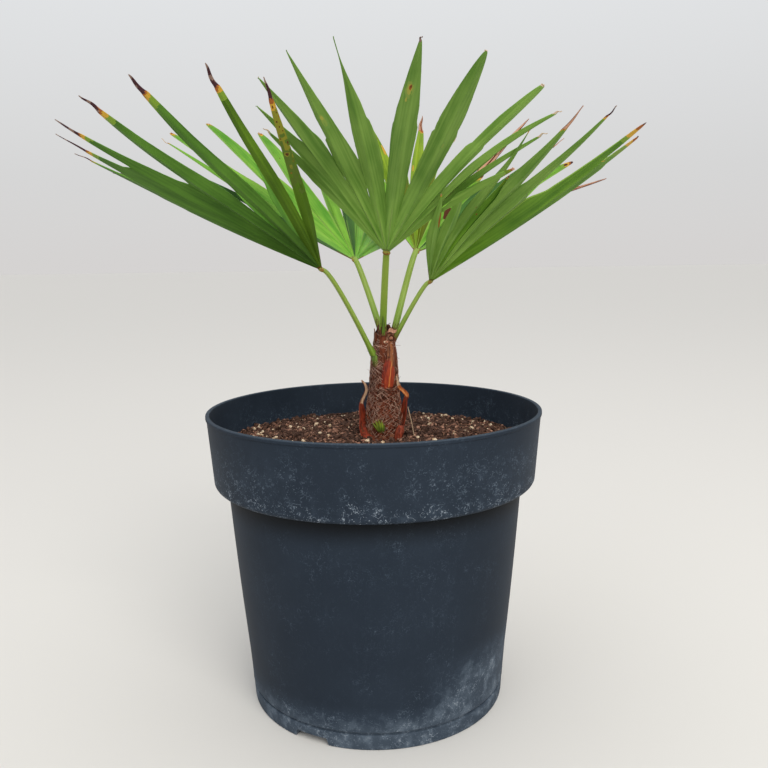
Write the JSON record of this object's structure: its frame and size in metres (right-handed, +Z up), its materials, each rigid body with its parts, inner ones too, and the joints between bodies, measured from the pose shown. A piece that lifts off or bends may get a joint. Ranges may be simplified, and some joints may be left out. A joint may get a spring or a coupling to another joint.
{
  "type": "potted trachycarpus palm",
  "caption": "Young fan palm with pleated, split leaves on a short fibrous trunk, growing in a round nursery pot with a deep collar.",
  "frame": {"origin": "centre of the pot's flat underside, on the surface that it stands on", "axes": "+Z up; -Y towards the side that shows in the picture, with +X to that view's right"},
  "size_m": [0.4001, 0.3407, 0.4812],
  "materials": {
    "pot_plastic": "matte injection-moulded plastic with lime haze",
    "compost": "loose, moist, with pale grit",
    "trunk_fibre": "dry criss-cross fibre",
    "dried_sheath": "dry papery husk",
    "petiole": "smooth waxy stalk",
    "leaf_blade": "satin pleated leaf with dried tips"
  },
  "bodies": {
    "root": {"pot": "pot_plastic", "compost": "compost", "trunk": "trunk_fibre", "dried_sheath_left": "dried_sheath", "dried_sheath_right": "dried_sheath", "petiole_left_front": "petiole", "petiole_right_front": "petiole", "petiole_left_back": "petiole", "petiole_front": "petiole", "petiole_right_back": "petiole", "blade_left_front": "leaf_blade", "blade_right_front": "leaf_blade", "blade_left_back": "leaf_blade", "blade_front": "leaf_blade", "blade_right_back": "leaf_blade"}
  },
  "joints": []
}
